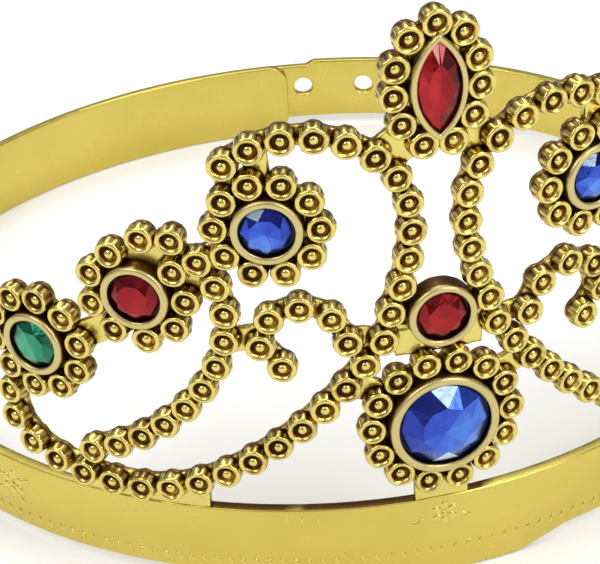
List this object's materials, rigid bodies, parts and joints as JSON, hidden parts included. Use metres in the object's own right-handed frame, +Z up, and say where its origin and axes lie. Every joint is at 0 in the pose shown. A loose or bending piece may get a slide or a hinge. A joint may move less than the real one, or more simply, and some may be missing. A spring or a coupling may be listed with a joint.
{
  "type": "costume crown",
  "caption": "Costume crown with a springy lapped head band pegged at the back and a pierced tiara front of bead cups, collets and faceted stones.",
  "frame": {"origin": "middle of the footprint, on the surface that the crown stands on", "axes": "+Z up, -Y to the front where the tiara stands, +X across the head to the viewer's right"},
  "size_m": [0.176, 0.1716, 0.1112],
  "materials": {
    "band": "bright gold vacuum plating over moulded plastic",
    "tiara_sheet": "gold plating with dark brown paint rubbed into the recesses",
    "antiqued_beads": "gold plating with dark brown paint left in the cups",
    "satin_collets": "satin pale gold, with a dark line round the stone",
    "blue_stone": "faceted foil-backed acrylic",
    "red_stone": "faceted foil-backed acrylic",
    "green_stone": "faceted foil-backed acrylic"
  },
  "bodies": {
    "crown": {"centre_blue_beads": "antiqued_beads", "centre_blue_collet": "satin_collets", "centre_blue_plate": "tiara_sheet", "centre_blue_stone": "blue_stone", "centre_red_collet": "satin_collets", "centre_red_plate": "tiara_sheet", "centre_red_stone": "red_stone", "head_band": "band", "left_arch_beads": "antiqued_beads", "left_arch_plate": "tiara_sheet", "left_blue_beads": "antiqued_beads", "left_blue_collet": "satin_collets", "left_blue_plate": "tiara_sheet", "left_blue_stone": "blue_stone", "left_curl_beads": "antiqued_beads", "left_curl_plate": "tiara_sheet", "left_green_beads": "antiqued_beads", "left_green_collet": "satin_collets", "left_green_plate": "tiara_sheet", "left_green_stone": "green_stone", "left_lower_scroll_beads": "antiqued_beads", "left_lower_scroll_plate": "tiara_sheet", "left_red_beads": "antiqued_beads", "left_red_collet": "satin_collets", "left_red_plate": "tiara_sheet", "left_red_stone": "red_stone", "left_side_scroll_beads": "antiqued_beads", "left_side_scroll_plate": "tiara_sheet", "marquise_beads": "antiqued_beads", "marquise_collet": "satin_collets", "marquise_plate": "tiara_sheet", "marquise_stone": "red_stone", "right_arch_beads": "antiqued_beads", "right_arch_plate": "tiara_sheet", "right_blue_beads": "antiqued_beads", "right_blue_collet": "satin_collets", "right_blue_plate": "tiara_sheet", "right_blue_stone": "blue_stone", "right_curl_beads": "antiqued_beads", "right_curl_plate": "tiara_sheet", "right_green_beads": "antiqued_beads", "right_green_collet": "satin_collets", "right_green_plate": "tiara_sheet", "right_green_stone": "green_stone", "right_lower_scroll_beads": "antiqued_beads", "right_lower_scroll_plate": "tiara_sheet", "right_red_beads": "antiqued_beads", "right_red_collet": "satin_collets", "right_red_plate": "tiara_sheet", "right_red_stone": "red_stone", "right_side_scroll_beads": "antiqued_beads", "right_side_scroll_plate": "tiara_sheet"},
    "inner_strap": {"inner_strap": "band", "closure_pegs": "band"},
    "outer_strap": {"outer_strap": "band"}
  },
  "joints": [
    {"name": "inner_strap_flex", "type": "hinge", "parent": "crown", "child": "inner_strap", "pos_m": [-0.03365, 0.07617, 0.00815], "axis": [0, 0, -1], "range_deg": [0, 20], "stiffness_Nm_per_rad": 0.24},
    {"name": "outer_strap_flex", "type": "hinge", "parent": "crown", "child": "outer_strap", "pos_m": [0.04226, 0.07614, 0.0094], "axis": [0, 0, -1], "range_deg": [0, 20], "stiffness_Nm_per_rad": 0.24}
  ]
}
